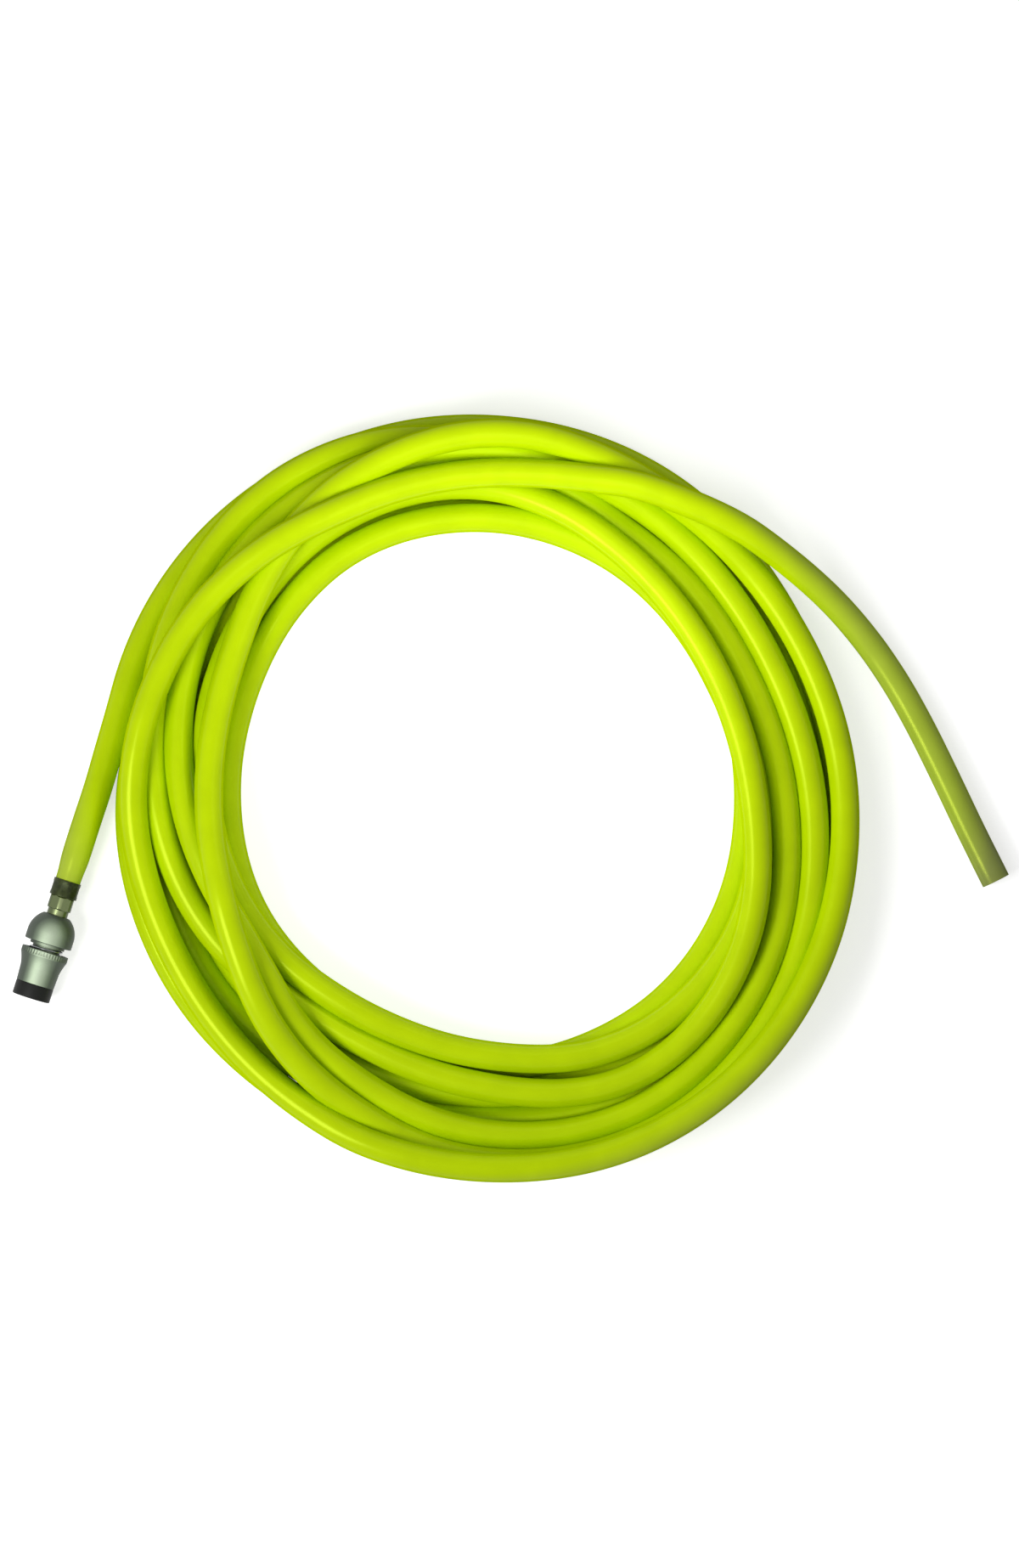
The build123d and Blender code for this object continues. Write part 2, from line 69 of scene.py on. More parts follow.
# Radius of each turn of the coil, in millimetres, at twelve stations that follow the hose round,
# clockwise from ten o'clock.  The first turns lie on the floor and the last ones on top.
stations = 12
first_station = 150.0
turn_radii = [
    [193, 192, 191, 190, 185, 188, 195, 197, 190, 185, 186, 187],
    [182, 177, 176, 176, 171, 174, 180, 180, 173, 171, 171, 168],
    [164, 161, 160, 160, 156, 159, 163, 160, 155, 153, 153, 150],
    [147, 145, 145, 144, 140, 142, 145, 145.5, 144, 135, 133, 131],
    [134, 146, 148, 146, 142, 148, 155, 149, 134, 127, 136, 144],
    [150, 160, 161, 146, 139, 143, 158, 167, 150, 137, 154, 168],
    [180, 192, 182, 156, 151, 158, 176, 187, 176, 158, 141, 152],
    [170, 180, 181, 173, 167, 174, 187, 196, 189, 169, 145, 139],
    [146, 170, 186, 184, 185, 191, 197, 199, 192, 184, 178, 178],
]
last_stretch = [(150, 174), (120, 165.5), (90, 167), (75, 172), (66, 178), (57.5, 187.5)]
coil_starts_at = 167.0
coil_starts_radius = 192.5
points_per_turn = 48

# Settling of the turns: they start in a rising spiral, fall, and push each other up and aside.
# They are held to their wanted radii more firmly the later they are laid.
settle_steps = 2500
push_rounds = 4
gap_between_turns = 0.95
start_rise_per_turn = 0.4
fall_per_step = 0.25 * mm
slack_at_edges = 0.8 * mm
upper_turn_share = 0.85
hold_at_turns = [0, 1, 4, 5, 7]
hold_shares = [0.03, 0.004, 0.004, 0.03, 0.15]

# Way of the two ends, about the coil's centre; the first points are drawn in by the ferrule
neck_shares = [0.88, 0.89, 0.95]
coupling_route = [
    (-0.2129, -0.0440, 0.0125),
    (-0.2118, -0.0407, 0.0125),
    (-0.2103, -0.0360, 0.0125),
    (-0.2088, -0.0312, 0.0125),
    (-0.2032, -0.0135, 0.0125),
    (-0.1972, 0.0048, 0.0093),
    (-0.1919, 0.0241, 0.0075),
]
free_route = [
    (0.1314, 0.1425),
    (0.1557, 0.1260),
    (0.1821, 0.1045),
    (0.2020, 0.0825),
    (0.2174, 0.0604),
    (0.2298, 0.0384),
    (0.2408, 0.0163),
    (0.2500, -0.0030),
    (0.2566, -0.0170),
    (0.2631, -0.0300),
]
free_end_falls_after = 0.020
free_end_fall_length = 0.140

# Cut end of the hose, in millimetres about the hose's axis
cut_end_half_length = 8.0
hose_bore = 9.0
liner_diameter = 11.4
braid_diameter = 12.6
layer_clearance = 0.02
yarn_ends = 36
yarn_step = 0.12

# Coupling, in millimetres: stations along its axis from the middle of the ferrule
stem_back = -15.6
neck_back = -5.0
ferrule_end = 4.4
hexagon_end = 11.4
housing_back = 14.6
spring_pocket_back = 16.0
stem_front = 21.0
housing_front = 30.0
sleeve_back = 34.0
grip_end = 37.0
sleeve_pocket_end = 40.5
waist_at = 44.0
ramp_back = 45.02
groove_back = 48.5
groove_front = 50.0
sleeve_front = 52.0
spigot_front = 54.45
mouth_front = 59.5

# Coupling, in millimetres: radii and counts
neck_inside = 4.65
neck_outside = 6.6
ferrule_inside = 6.65
ferrule_outside = 7.25
crimp_flats = 8
crimp_apothem = 6.98
crimp_half_length = 2.5
stem_bore = 3.0
barb_root = 4.2
barb_crest = 4.6
barb_count = 4
barb_pitch = 5.0
hexagon_apothem = 6.2
hexagon_corner = 6.66
hexagon_chamfer = 0.55
stem_neck_radius = 5.5
thread_clearance = 0.03
spring_pocket_radius = 4.6
housing_nose_radius = 7.0
housing_radius = 12.5
housing_shoulder_length = 10.6
housing_thread_radius = 8.0
grip_radius = 12.4
waist_radius = 10.4
grip_slope = 2.96
sleeve_front_radius = 10.0
sleeve_pocket_radius = 9.5
sleeve_land_radius = 7.5
groove_radius = 8.23
spigot_radius = 8.95
mouth_inside = 8.6
seat_clearance = 0.02
flute_count = 48
flute_depth = 0.22
flute_margin = 0.4
flute_shoulder = 0.7

# Springs that close up, with the joint that closes each and its travel
spring_travels = [("sleeve_spring", "sleeve_pull", 3.5 * mm), ("valve_spring", "poppet_push", 3.0 * mm)]

# Light and camera
floor_glow = 0.62
fill_light = 0.3
view_height = 0.8141
camera_distance = 4.0
camera_offset = (0.0168, 0.0062, 0.02)


# ---------------------------------------------------------------- places, from the frame
def middle(node):
    """Middle of a node's box."""
    low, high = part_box(node)
    return (Vector(low) + Vector(high)) / 2


def coil_centre():
    """Centre of the coil on the floor.  The ends' channels only cut its left side."""
    low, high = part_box("hose_coil")
    radius = (high[1] - low[1]) / 2
    return Vector((high[0] - radius, (high[1] + low[1]) / 2, 0))


def coupling_place():
    """Matrix from the coupling's own axis, with X from hose to mouth, to its place."""
    origin = middle("crimp_ferrule")
    balls = [middle(f"locking_ball_{number}") for number in range(1, 7)]
    ahead = sum(balls, Vector()) / len(balls) - origin
    return Matrix.Translation(origin) @ Matrix.Rotation(math.atan2(ahead.y, ahead.x), 4, "Z")


# ---------------------------------------------------------------- the hose
def wanted_turns():
    """Angles and radii of the coil's points, smooth through the stations of each turn."""
    angles = [coil_starts_at]
    radii = [coil_starts_radius]
    for turn, row in enumerate(turn_radii):
        for station, radius in enumerate(row):
            angles.append(first_station - 360 * turn - station * 360 / stations)
            radii.append(radius)
    for angle, radius in last_stretch:
        angles.append(angle - 360 * len(turn_radii))
        radii.append(radius)
    run = -np.array(angles)
    radii = np.array(radii, float) * mm
    slope = np.gradient(radii, run)
    at = np.arange(run[0], run[-1], 360 / points_per_turn)
    here = np.clip(np.searchsorted(run, at, side="right") - 1, 0, len(run) - 2)
    span = run[here + 1] - run[here]
    t = (at - run[here]) / span
    smooth = (
        (2 * t**3 - 3 * t**2 + 1) * radii[here]
        + (t**3 - 2 * t**2 + t) * span * slope[here]
        + (3 * t**2 - 2 * t**3) * radii[here + 1]
        + (t**3 - t**2) * span * slope[here + 1]
    )
    return -at, smooth


def eased(values):
    """The values with each point drawn towards its neighbours, as a stiff hose does."""
    soft = values.copy()
    soft[1:-1] = values[:-2] / 4 + values[1:-1] / 2 + values[2:] / 4
    return soft


def edge_of_coil(wanted, pick, slack):
    """Smooth inner or outer limit of the coil at each point."""
    turns = -(-len(wanted) // points_per_turn)
    grid = np.full(turns * points_per_turn, np.nan)
    grid[: len(wanted)] = wanted
    edge = pick(grid.reshape(turns, points_per_turn), axis=0) + slack
    for _ in range(6):
        edge = np.roll(edge, 1) / 4 + edge / 2 + np.roll(edge, -1) / 4
    return np.tile(edge, turns)[: len(wanted)]


def settled_turns(wanted):
    """Radii and heights of the turns once they lie on the floor and in each other's valleys."""
    apart = hose_diameter * gap_between_turns
    inner = edge_of_coil(wanted, np.nanmin, -slack_at_edges)
    outer = edge_of_coil(wanted, np.nanmax, slack_at_edges)
    count = len(wanted)
    turn = np.arange(count) / points_per_turn
    hold = np.interp(turn, hold_at_turns, hold_shares)
    radius = wanted.copy()
    height = hose_radius + turn * start_rise_per_turn * hose_diameter
    for _ in range(settle_steps):
        height = eased(height - fall_per_step)
        radius = wanted + eased(radius - wanted) * (1 - hold)
        for _ in range(push_rounds):
            push_out = np.zeros(count)
            push_up = np.zeros(count)
            touching = np.zeros(count)
            for back in range(points_per_turn, count, points_per_turn):
                out = radius[back:] - radius[:-back]
                up = height[back:] - height[:-back]
                distance = np.maximum(np.hypot(out, up), mm / 1000)
                press = np.maximum(apart - distance, 0) / distance
                share = np.where(up > 0, upper_turn_share, 1 - upper_turn_share)
                push_out[back:] += press * out / 2
                push_out[:-back] -= press * out / 2
                push_up[back:] += share * press * up
                push_up[:-back] -= (1 - share) * press * up
                touching[back:] += press > 0
                touching[:-back] += press > 0
            ease = np.maximum(0.8 * touching, 1)
            radius = np.clip(radius + push_out / ease, inner, outer)
            height = np.maximum(height + push_up / ease, hose_radius)
    return radius, height


def hose_points():
    """Points of the hose's line from the coupling through the coil to the cut end."""
    centre = coil_centre()
    angles, wanted = wanted_turns()
    radii, heights = settled_turns(wanted)
    coil = [
        Vector((r * math.cos(math.radians(a)), r * math.sin(math.radians(a)), z))
        for a, r, z in zip(angles, radii, heights)
    ]
    way = [Vector(point) for point in coupling_route] + coil
    gone = 0
    top = coil[-1].z
    last = coil[-1].xy
    for x, y in free_route:
        gone += (Vector((x, y)) - last).length
        last = Vector((x, y))
        fall = min(max((gone - free_end_falls_after) / free_end_fall_length, 0), 1)
        way.append(Vector((x, y, top + (hose_radius - top) * fall * fall * (3 - 2 * fall))))
    return [centre + point for point in way]


def smooth_line(name, points, radius, first_shares):
    """Round bar along a smooth open spline, slimmer at its first control points."""
    data = bpy.data.curves.new(name, "CURVE")
    data.dimensions = "3D"
    data.bevel_depth = radius
    data.bevel_resolution = 9
    data.resolution_u = 6
    spline = data.splines.new("NURBS")
    spline.points.add(len(points) - 1)
    for target, point in zip(spline.points, points):
        target.co = (*point, 1)
    for target, share in zip(spline.points, first_shares):
        target.radius = share
    spline.order_u = 3
    spline.use_endpoint_u = True
    piece = bpy.data.objects.new(name, data)
    bpy.context.collection.objects.link(piece)
    return piece


# ---------------------------------------------------------------- turned pieces
def cut_end_place():
    """Matrix from the cut end's own axis, with X outwards from the middle, to its place."""
    ahead = Vector(free_route[-1]) - Vector(free_route[-2])
    turn = Matrix.Rotation(math.atan2(ahead.y, ahead.x), 4, "Z")
    return Matrix.Translation(middle("hose_end_cover")) @ turn


def rounded(outline, radius):
    """Closed outline of (x, radius) in millimetres with its corners rounded off."""
    corners = [Vector(corner) for corner in outline]
    soft = []
    for number, corner in enumerate(corners):
        back = corners[number - 1] - corner
        ahead = corners[(number + 1) % len(corners)] - corner
        if back.angle(-ahead) < math.radians(20):
            soft.append(corner)
            continue
        reach = min(radius, back.length * 0.45, ahead.length * 0.45)
        start = corner + back.normalized() * reach
        end = corner + ahead.normalized() * reach
        for t in (0, 0.25, 0.5, 0.75, 1):
            soft.append((1 - t) ** 2 * start + 2 * t * (1 - t) * corner + t * t * end)
    return soft


def turned(name, outline, place, slot, sides=96, form=None):
    """Body of revolution about its own X axis; form moves points given as x, angle and radius."""
    shape = bmesh.new()
    points = [shape.verts.new((x * mm, 0, radius * mm)) for x, radius in outline]
    edges = [shape.edges.new((points[number - 1], point)) for number, point in enumerate(points)]
    bmesh.ops.spin(
        shape,
        geom=points + edges,
        cent=(0, 0, 0),
        axis=(1, 0, 0),
        angle=2 * math.pi,
        steps=sides,
        use_merge=True,
    )
    bmesh.ops.remove_doubles(shape, verts=shape.verts, dist=mm / 1000)
    bmesh.ops.recalc_face_normals(shape, faces=shape.faces)
    if form:
        for vert in shape.verts:
            angle = math.atan2(vert.co.z, vert.co.y)
            x, radius = form(vert.co.x / mm, angle, math.hypot(vert.co.y, vert.co.z) / mm)
            vert.co = Vector((x, radius * math.cos(angle), radius * math.sin(angle))) * mm
    shape.transform(place)
    mesh = bpy.data.meshes.new(name)
    shape.to_mesh(mesh)
    shape.free()
    mesh.polygons.foreach_set("use_smooth", [True] * len(mesh.polygons))
    mesh.set_sharp_from_angle(angle=math.radians(40))
    mesh.materials.append(finishes[slot])
    piece = bpy.data.objects.new(name, mesh)
    bpy.context.collection.objects.link(piece)
    return piece


def flat_sided(flats, apothem, x_from, x_to):
    """Form that presses the given number of flats onto a turned body between two stations."""

    def press(x, angle, radius):
        if x_from < x < x_to and radius > apothem * 0.9:
            off = (angle + math.pi / flats) % (2 * math.pi / flats) - math.pi / flats
            radius = min(radius, apothem / math.cos(off))
        return x, radius

    return press


def make_neck(place):
    """End of the hose that the ferrule squeezes onto the barbs."""
    outline = [
        (neck_back, neck_inside),
        (neck_back, neck_outside - 0.1),
        (neck_back + 0.8, neck_outside),
        (ferrule_end, neck_outside),
        (ferrule_end, neck_inside),
    ]
    neck = turned("squeezed_end", rounded(outline, 0.1), place, "hose_cover")
    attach(neck, "hose")
    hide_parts("hose_neck")


def make_ferrule(place):
    """Steel ring pressed round the hose, with rolled edges and the flats of the crimping jaws."""
    outline = [
        (-ferrule_end, ferrule_inside),
        (-ferrule_end, ferrule_outside),
        (-crimp_half_length - 0.2, ferrule_outside),
        (-crimp_half_length + 0.2, ferrule_outside - 0.01),
        (crimp_half_length - 0.2, ferrule_outside - 0.01),
        (crimp_half_length + 0.2, ferrule_outside),
        (ferrule_end, ferrule_outside),
        (ferrule_end, ferrule_inside),
    ]
    crimped = flat_sided(crimp_flats, crimp_apothem, -crimp_half_length, crimp_half_length)
    ferrule = turned("ferrule_ring", rounded(outline, 0.28), place, "dark_steel", form=crimped)
    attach(ferrule, "hose")
    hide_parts("crimp_ferrule")


def make_stem(place):
    """Barbed stem with its hexagon, its neck and its screwed end."""
    outline = [(stem_back, stem_bore), (stem_back, barb_root)]
    for barb in range(barb_count):
        crest = stem_back + (barb + 0.75) * barb_pitch
        outline += [(crest, barb_crest), (crest, barb_root)]
    shoulder = hexagon_apothem - 0.1
    thread = stem_neck_radius - thread_clearance
    outline += [
        (ferrule_end, barb_root),
        (ferrule_end, shoulder),
        (ferrule_end + hexagon_chamfer, hexagon_corner),
        (hexagon_end - hexagon_chamfer, hexagon_corner),
        (hexagon_end, shoulder),
        (hexagon_end, stem_neck_radius),
        (housing_back + 0.1, stem_neck_radius),
        (housing_back + 0.1, thread),
        (stem_front, thread),
        (stem_front, spring_pocket_radius),
        (spring_pocket_back, spring_pocket_radius),
        (spring_pocket_back, stem_bore),
    ]
    hexagon = flat_sided(6, hexagon_apothem, ferrule_end - 0.1, hexagon_end + 0.1)
    stem = turned("barbed_stem", rounded(outline, 0.15), place, "plated_steel", sides=120, form=hexagon)
    # The stem takes the zinc plate with its painted reflection.
    stem.data.materials[0] = painted_reflection_stem
    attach(stem, "hose")
    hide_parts("hose_stem")


def make_housing(place):
    """Rounded rear housing with a smooth shoulder from its nose to its full width."""
    drop = housing_radius - housing_nose_radius
    arc = (housing_shoulder_length**2 + drop**2) / (2 * drop)
    sweep = math.asin(housing_shoulder_length / arc)
    arc_end = housing_back + housing_shoulder_length
    steps = 14
    outline = [(housing_back, stem_neck_radius)]
    for step in range(steps + 1):
        turn = sweep * (1 - step / steps)
        outline.append((arc_end - arc * math.sin(turn), housing_radius - arc * (1 - math.cos(turn))))
    outline += [
        (housing_front, housing_radius),
        (housing_front, housing_thread_radius),
        (stem_front, housing_thread_radius),
        (stem_front, stem_neck_radius),
    ]
    housing = turned("housing_shell", rounded(outline, 0.7), place, "plated_steel", sides=128)
    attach(housing, "hose")
    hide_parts("rear_housing")


def make_sleeve(place):
    """Sliding sleeve with a fluted grip, a waist and, inside, its land and release ramp."""
    outline = [
        (sleeve_back, sleeve_pocket_radius),
        (sleeve_back, grip_radius),
        (sleeve_back + flute_shoulder, grip_radius),
        (grip_end - flute_shoulder, grip_radius),
        (grip_end, grip_radius),
    ]
    steps = 12
    rise = grip_slope - (grip_radius - waist_radius)
    for step in range(1, steps):
        t = step / steps
        outline.append((grip_end + (waist_at - grip_end) * t, grip_radius - grip_slope * t + rise * t * t))
    outline += [
        (waist_at, waist_radius),
        (sleeve_front, sleeve_front_radius),
        (sleeve_front, spigot_radius),
        (spigot_front, spigot_radius),
        (spigot_front, sleeve_land_radius),
        (groove_front, sleeve_land_radius),
        (groove_front, groove_radius),
        (groove_back, groove_radius),
        (ramp_back, sleeve_land_radius),
        (sleeve_pocket_end, sleeve_land_radius),
        (sleeve_pocket_end, sleeve_pocket_radius),
    ]

    def fluted(x, angle, radius):
        on_grip = sleeve_back + flute_margin < x < grip_end - flute_margin
        if on_grip and radius > grip_radius - 0.2:
            radius -= flute_depth * (0.5 - 0.5 * math.cos(flute_count * angle))
        return x, radius

    outline = rounded(outline, 0.35)
    sleeve = turned("grip_sleeve", outline, place, "plated_steel", sides=6 * flute_count, form=fluted)
    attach(sleeve, "sleeve")
    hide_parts("release_sleeve")


def make_nose(place):
    """Black ring round the mouth."""
    outline = [
        (sleeve_front, spigot_radius + seat_clearance),
        (sleeve_front, sleeve_front_radius),
        (mouth_front, sleeve_front_radius),
        (mouth_front, mouth_inside),
        (spigot_front + seat_clearance, mouth_inside),
        (spigot_front + seat_clearance, spigot_radius + seat_clearance),
    ]
    nose = turned("mouth_ring", rounded(outline, 0.6), place, "black_rubber", sides=128)
    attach(nose, "sleeve")
    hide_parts("nose_ring")


def make_cut_end(place):
    """Cut end of the hose: cover, braid with its yarn ends, and liner."""
    bore = hose_bore / 2
    liner = liner_diameter / 2
    braid = braid_diameter / 2
    cover = hose_radius / mm

    def frayed(x, angle, radius):
        if x > cut_end_half_length - 1:
            x -= 0.22 + yarn_step * math.sin(yarn_ends * angle)
        return x, radius

    layers = []
    for name, node, slot, low, high, form in (
        ("cut_cover", "hose_end_cover", "hose_cover", braid, cover, None),
        (
            "cut_braid",
            "hose_end_braid",
            "hose_braid",
            liner + layer_clearance,
            braid - layer_clearance,
            frayed,
        ),
        ("cut_liner", "hose_end_liner", "hose_liner", bore, liner, None),
    ):
        outline = [
            (-cut_end_half_length, low),
            (cut_end_half_length, low),
            (cut_end_half_length, high),
            (-cut_end_half_length, high),
        ]
        layer = turned(name, rounded(outline, 0.12), place, slot, sides=4 * yarn_ends, form=form)
        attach(layer, "hose")
        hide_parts(node)
        layers.append(layer)
    return layers


def let_springs_close():
    """Gives each spring node its own copy of its mesh."""
    for node, joint, travel in spring_travels:
        spring = frame["nodes"][node]
        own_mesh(spring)


# ---------------------------------------------------------------- finishes
def new_material(name):
    """New material with its node tree and its shader."""
    material = bpy.data.materials.new(name)
    material.use_nodes = True
    tree = material.node_tree
    return material, tree, tree.nodes["Principled BSDF"]


def linear(red, green, blue):
    """Colour for a shader from the 0 to 255 values of a display."""
    values = [value / 255 for value in (red, green, blue)]
    return [v / 12.92 if v <= 0.04045 else ((v + 0.055) / 1.055) ** 2.4 for v in values] + [1]


def mottled(tree, shader, light, dark, scale):
    """Colour that wanders between two near shades over the surface; returns its ramp."""
    place = tree.nodes.new("ShaderNodeTexCoord")
    noise = tree.nodes.new("ShaderNodeTexNoise")
    noise.inputs["Scale"].default_value = scale
    noise.inputs["Detail"].default_value = 4.0
    ramp = tree.nodes.new("ShaderNodeValToRGB")
    ramp.color_ramp.elements[0].position = 0.35
    ramp.color_ramp.elements[0].color = dark
    ramp.color_ramp.elements[1].position = 0.65
    ramp.color_ramp.elements[1].color = light
    tree.links.new(place.outputs["Object"], noise.inputs["Vector"])
    tree.links.new(noise.outputs["Fac"], ramp.inputs["Fac"])
    tree.links.new(ramp.outputs["Color"], shader.inputs["Base Color"])
    return ramp


def finish(name, light, dark, scale, roughness, metallic=0.0, shine=0.5):
    """Plain finish with a mottled colour."""
    material, tree, shader = new_material(name)
    mottled(tree, shader, light, dark, scale)
    shader.inputs["Roughness"].default_value = roughness
    shader.inputs["Metallic"].default_value = metallic
    shader.inputs["Specular IOR Level"].default_value = shine
    return material


def ramp_of(tree, stops):
    """Colour ramp with the given positions and colours."""
    ramp = tree.nodes.new("ShaderNodeValToRGB")
    steps = ramp.color_ramp.elements
    while len(steps) < len(stops):
        steps.new(1.0)
    for step, (position, colour) in zip(steps, stops):
        step.position = position
        step.color = colour
    return ramp


def facing_ramp(tree, stops):
    """Colour ramp from the parts of a surface that face the eye to those seen edge-on."""
    weight = tree.nodes.new("ShaderNodeLayerWeight")
    weight.inputs["Blend"].default_value = 0.5
    ramp = ramp_of(tree, stops)
    tree.links.new(weight.outputs["Facing"], ramp.inputs["Fac"])
    return ramp


def hose_cover_finish():
    """Glossy fluorescent yellow-green rubber, greyer and darker towards the two ends."""
    material, tree, shader = new_material("hose_cover_fluorescent")
    place = tree.nodes.new("ShaderNodeTexCoord")
    from_centre = tree.nodes.new("ShaderNodeVectorMath")
    from_centre.operation = "DISTANCE"
    from_centre.inputs[1].default_value = coil_centre()
    reach = tree.nodes.new("ShaderNodeMapRange")
    reach.inputs["From Min"].default_value = 0.200
    reach.inputs["From Max"].default_value = 0.270
    # Colour grows greyer and darker with distance from the coil's centre.
    greyer_towards_ends = ramp_of(
        tree,
        [
            (0.0, linear(190, 219, 2)),
            (0.25, linear(172, 194, 58)),
            (0.7, linear(170, 192, 62)),
            (0.88, linear(156, 172, 72)),
            (1.0, linear(138, 148, 82)),
        ],
    )
    tree.links.new(place.outputs["Object"], from_centre.inputs[0])
    tree.links.new(from_centre.outputs["Value"], reach.inputs["Value"])
    tree.links.new(reach.outputs["Result"], greyer_towards_ends.inputs["Fac"])
    noise = mottled(tree, shader, linear(255, 255, 255), linear(247, 248, 240), 60.0)
    shade = tree.nodes.new("ShaderNodeMix")
    shade.data_type = "RGBA"
    shade.blend_type = "MULTIPLY"
    shade.inputs["Factor"].default_value = 1.0
    tree.links.new(greyer_towards_ends.outputs["Color"], shade.inputs["A"])
    tree.links.new(noise.outputs["Color"], shade.inputs["B"])
    tree.links.new(shade.outputs["Result"], shader.inputs["Base Color"])
    sheen = facing_ramp(tree, [(0.2, (0.5, 0.5, 0.5, 1)), (0.5, (0, 0, 0, 1))])
    tree.links.new(sheen.outputs["Color"], shader.inputs["Specular IOR Level"])
    shader.inputs["Roughness"].default_value = 0.25
    shader.inputs["Specular Tint"].default_value = linear(235, 255, 90)
    return material


def plate_with_painted_reflection(name, stops, roughness):
    """Bright metal plating with a painted reflection: its colour is painted light where it faces the eye
    and dark where it curves away, with faint polishing marks.
    """
    material, tree, shader = new_material(name)
    # Painted reflection: the base colour follows the stops from the light shade facing the eye to the dark
    # shade seen edge-on.
    ramp = facing_ramp(tree, stops)
    tree.links.new(ramp.outputs["Color"], shader.inputs["Base Color"])
    place = tree.nodes.new("ShaderNodeTexCoord")
    marks = tree.nodes.new("ShaderNodeTexNoise")
    marks.inputs["Scale"].default_value = 1500.0
    wear = tree.nodes.new("ShaderNodeMapRange")
    wear.inputs["To Min"].default_value = roughness - 0.05
    wear.inputs["To Max"].default_value = roughness + 0.07
    tree.links.new(place.outputs["Object"], marks.inputs["Vector"])
    tree.links.new(marks.outputs["Fac"], wear.inputs["Value"])
    tree.links.new(wear.outputs["Result"], shader.inputs["Roughness"])
    shader.inputs["Metallic"].default_value = 1.0
    return material


finishes = {
    "hose_cover": hose_cover_finish(),
    "hose_braid": finish("braid_yarn", linear(225, 232, 190), linear(190, 200, 140), 900.0, 0.8),
    "hose_liner": finish("liner_rubber", linear(120, 132, 70), linear(96, 108, 52), 200.0, 0.6),
    # Nickel plate with a painted reflection: a light centre stripe and dark edges painted into its colour.
    "plated_steel": plate_with_painted_reflection(
        "nickel_plate_painted_reflection",
        [
            (0.0, linear(160, 172, 151)),
            (0.05, linear(152, 165, 143)),
            (0.16, linear(116, 128, 110)),
            (0.3, linear(86, 94, 84)),
            (1.0, linear(78, 83, 78)),
        ],
        0.6,
    ),
    # Ferrule ring: a near-black olive colour.
    "dark_steel": finish("dark_olive_steel", linear(52, 60, 28), linear(36, 43, 18), 500.0, 0.45, 0.7),
    "black_rubber": finish("black_nose", linear(17, 19, 17), linear(11, 13, 11), 300.0, 0.55, 0.0, 0.2),
    "seal_rubber": finish("seal_rubber", linear(36, 34, 32), linear(24, 23, 22), 400.0, 0.55),
    "valve_brass": finish("valve_brass", linear(205, 170, 90), linear(186, 150, 76), 400.0, 0.3, 1.0),
    "spring_steel": finish("spring_wire", linear(178, 180, 182), linear(160, 162, 165), 600.0, 0.28, 1.0),
    "ball_steel": finish("ball_steel", linear(214, 216, 218), linear(200, 202, 205), 600.0, 0.12, 1.0),
}
# Zinc-plated stem with a painted reflection: colour painted lighter where it faces the eye and darker
# edge-on.
painted_reflection_stem = plate_with_painted_reflection(
    "zinc_stem_painted_reflection",
    [(0.0, linear(128, 138, 98)), (0.2, linear(98, 108, 76)), (0.5, linear(78, 86, 62))],
    0.3,
)


def paint_nodes():
    """Gives every node the finish of its slot."""
    for part in frame["record"]["subparts"]:
        mesh = frame["nodes"][part["node"]].data
        mesh.materials.clear()
        mesh.materials.append(finishes[part["material_slot"]])


# ---------------------------------------------------------------- light, floor and camera
def shown_light(tree):
    """Socket that is 1 for what the eye sees directly, in a reflection or through glass."""
    rays = tree.nodes.new("ShaderNodeLightPath")
    total = rays.outputs["Is Camera Ray"]
    for kind in ("Is Glossy Ray", "Is Transmission Ray"):
        both = tree.nodes.new("ShaderNodeMath")
        both.operation = "MAXIMUM"
        tree.links.new(total, both.inputs[0])
        tree.links.new(rays.outputs[kind], both.inputs[1])
        total = both.outputs["Value"]
    return total


def make_floor():
    """Pale floor that shows white and keeps the shadow."""
    mesh = bpy.data.meshes.new("floor")
    shape = bmesh.new()
    bmesh.ops.create_grid(shape, x_segments=1, y_segments=1, size=4.0)
    shape.to_mesh(mesh)
    shape.free()
    floor = bpy.data.objects.new("floor", mesh)
    floor.location.z = -0.0005
    bpy.context.collection.objects.link(floor)
    material, tree, shader = new_material("white_floor")
    shader.inputs["Base Color"].default_value = (0.8, 0.8, 0.8, 1)
    shader.inputs["Roughness"].default_value = 1.0
    shader.inputs["Emission Color"].default_value = (1, 1, 1, 1)
    glow = tree.nodes.new("ShaderNodeMath")
    glow.operation = "MULTIPLY"
    glow.inputs[1].default_value = floor_glow
    tree.links.new(shown_light(tree), glow.inputs[0])
    tree.links.new(glow.outputs["Value"], shader.inputs["Emission Strength"])
    mesh.materials.append(material)


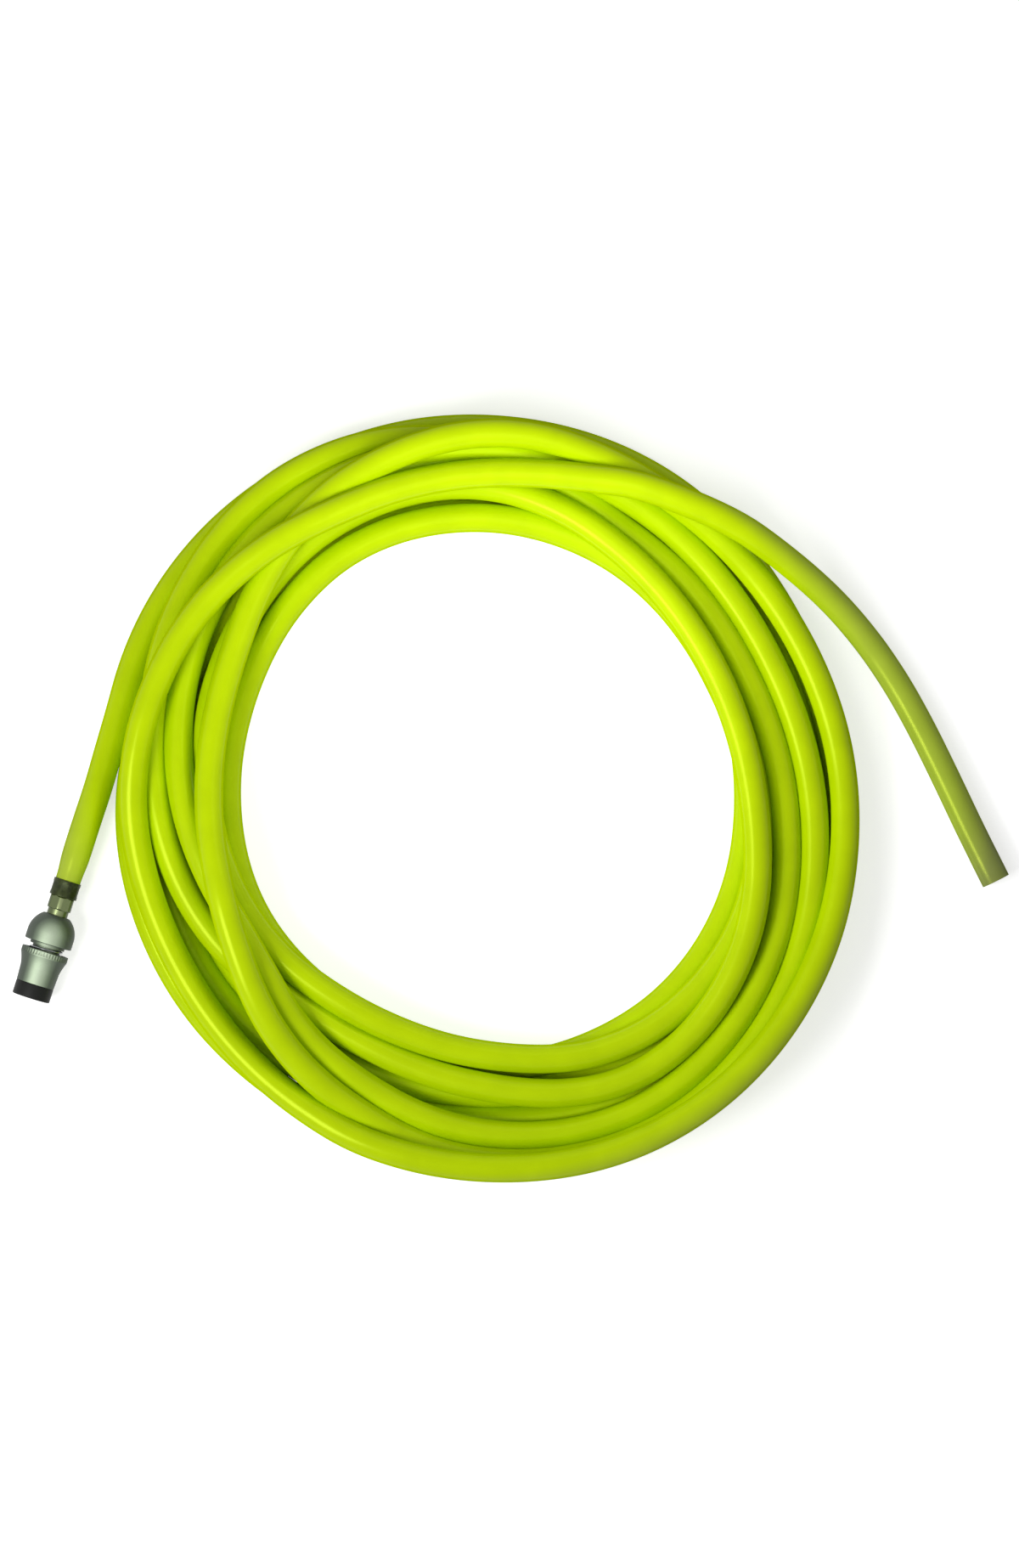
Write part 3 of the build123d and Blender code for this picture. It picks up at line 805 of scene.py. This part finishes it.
def add_lamp(name, place, aim, size, power):
    """Soft square lamp at a place, pointing at its aim."""
    data = bpy.data.lights.new(name, "AREA")
    data.size = size
    data.energy = power
    lamp = bpy.data.objects.new(name, data)
    lamp.location = place
    lamp.rotation_euler = (Vector(aim) - Vector(place)).to_track_quat("-Z", "Y").to_euler()
    bpy.context.collection.objects.link(lamp)
    return lamp


def make_lamps():
    """Key lamp low on the left and a small lamp close above the coil's far side."""
    add_lamp("key_lamp", (-0.66, -0.36, 0.84), (0, 0, 0), 0.45, 6.9)
    near_lamp = add_lamp("near_lamp", (0.01, 0.1, 0.25), (0.02, 0.16, 0), 0.15, 0.4)
    near_lamp.visible_glossy = False


def make_world():
    """Even pale light from all round, which shows and reflects as white."""
    world = bpy.data.worlds.new("studio")
    world.use_nodes = True
    tree = world.node_tree
    sky = tree.nodes["Background"]
    sky.inputs["Color"].default_value = (1, 1, 1, 1)
    strength = tree.nodes.new("ShaderNodeMapRange")
    strength.inputs["To Min"].default_value = fill_light
    strength.inputs["To Max"].default_value = 1.0
    tree.links.new(shown_light(tree), strength.inputs["Value"])
    tree.links.new(strength.outputs["Result"], sky.inputs["Strength"])
    bpy.context.scene.world = world


def make_camera():
    """Camera high above the coil, looking straight down."""
    data = bpy.data.cameras.new("camera")
    data.sensor_width = 36.0
    data.lens = data.sensor_width * camera_distance / view_height
    camera = bpy.data.objects.new("camera", data)
    camera.location = coil_centre() + Vector(camera_offset) + Vector((0, 0, camera_distance))
    bpy.context.collection.objects.link(camera)
    bpy.context.scene.camera = camera


# ---------------------------------------------------------------- assembly
coupling = coupling_place()
make_neck(coupling)
make_ferrule(coupling)
make_stem(coupling)
make_housing(coupling)
make_sleeve(coupling)
make_nose(coupling)
let_springs_close()
hose = smooth_line("hose", hose_points(), hose_radius, neck_shares)
hose.data.materials.append(finishes["hose_cover"])
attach(hose, "hose")
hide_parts("hose_coil", "coupling_tail", "free_tail")
make_cut_end(cut_end_place())
paint_nodes()
make_floor()
make_lamps()
make_world()
make_camera()
bpy.context.scene.view_settings.view_transform = "Standard"
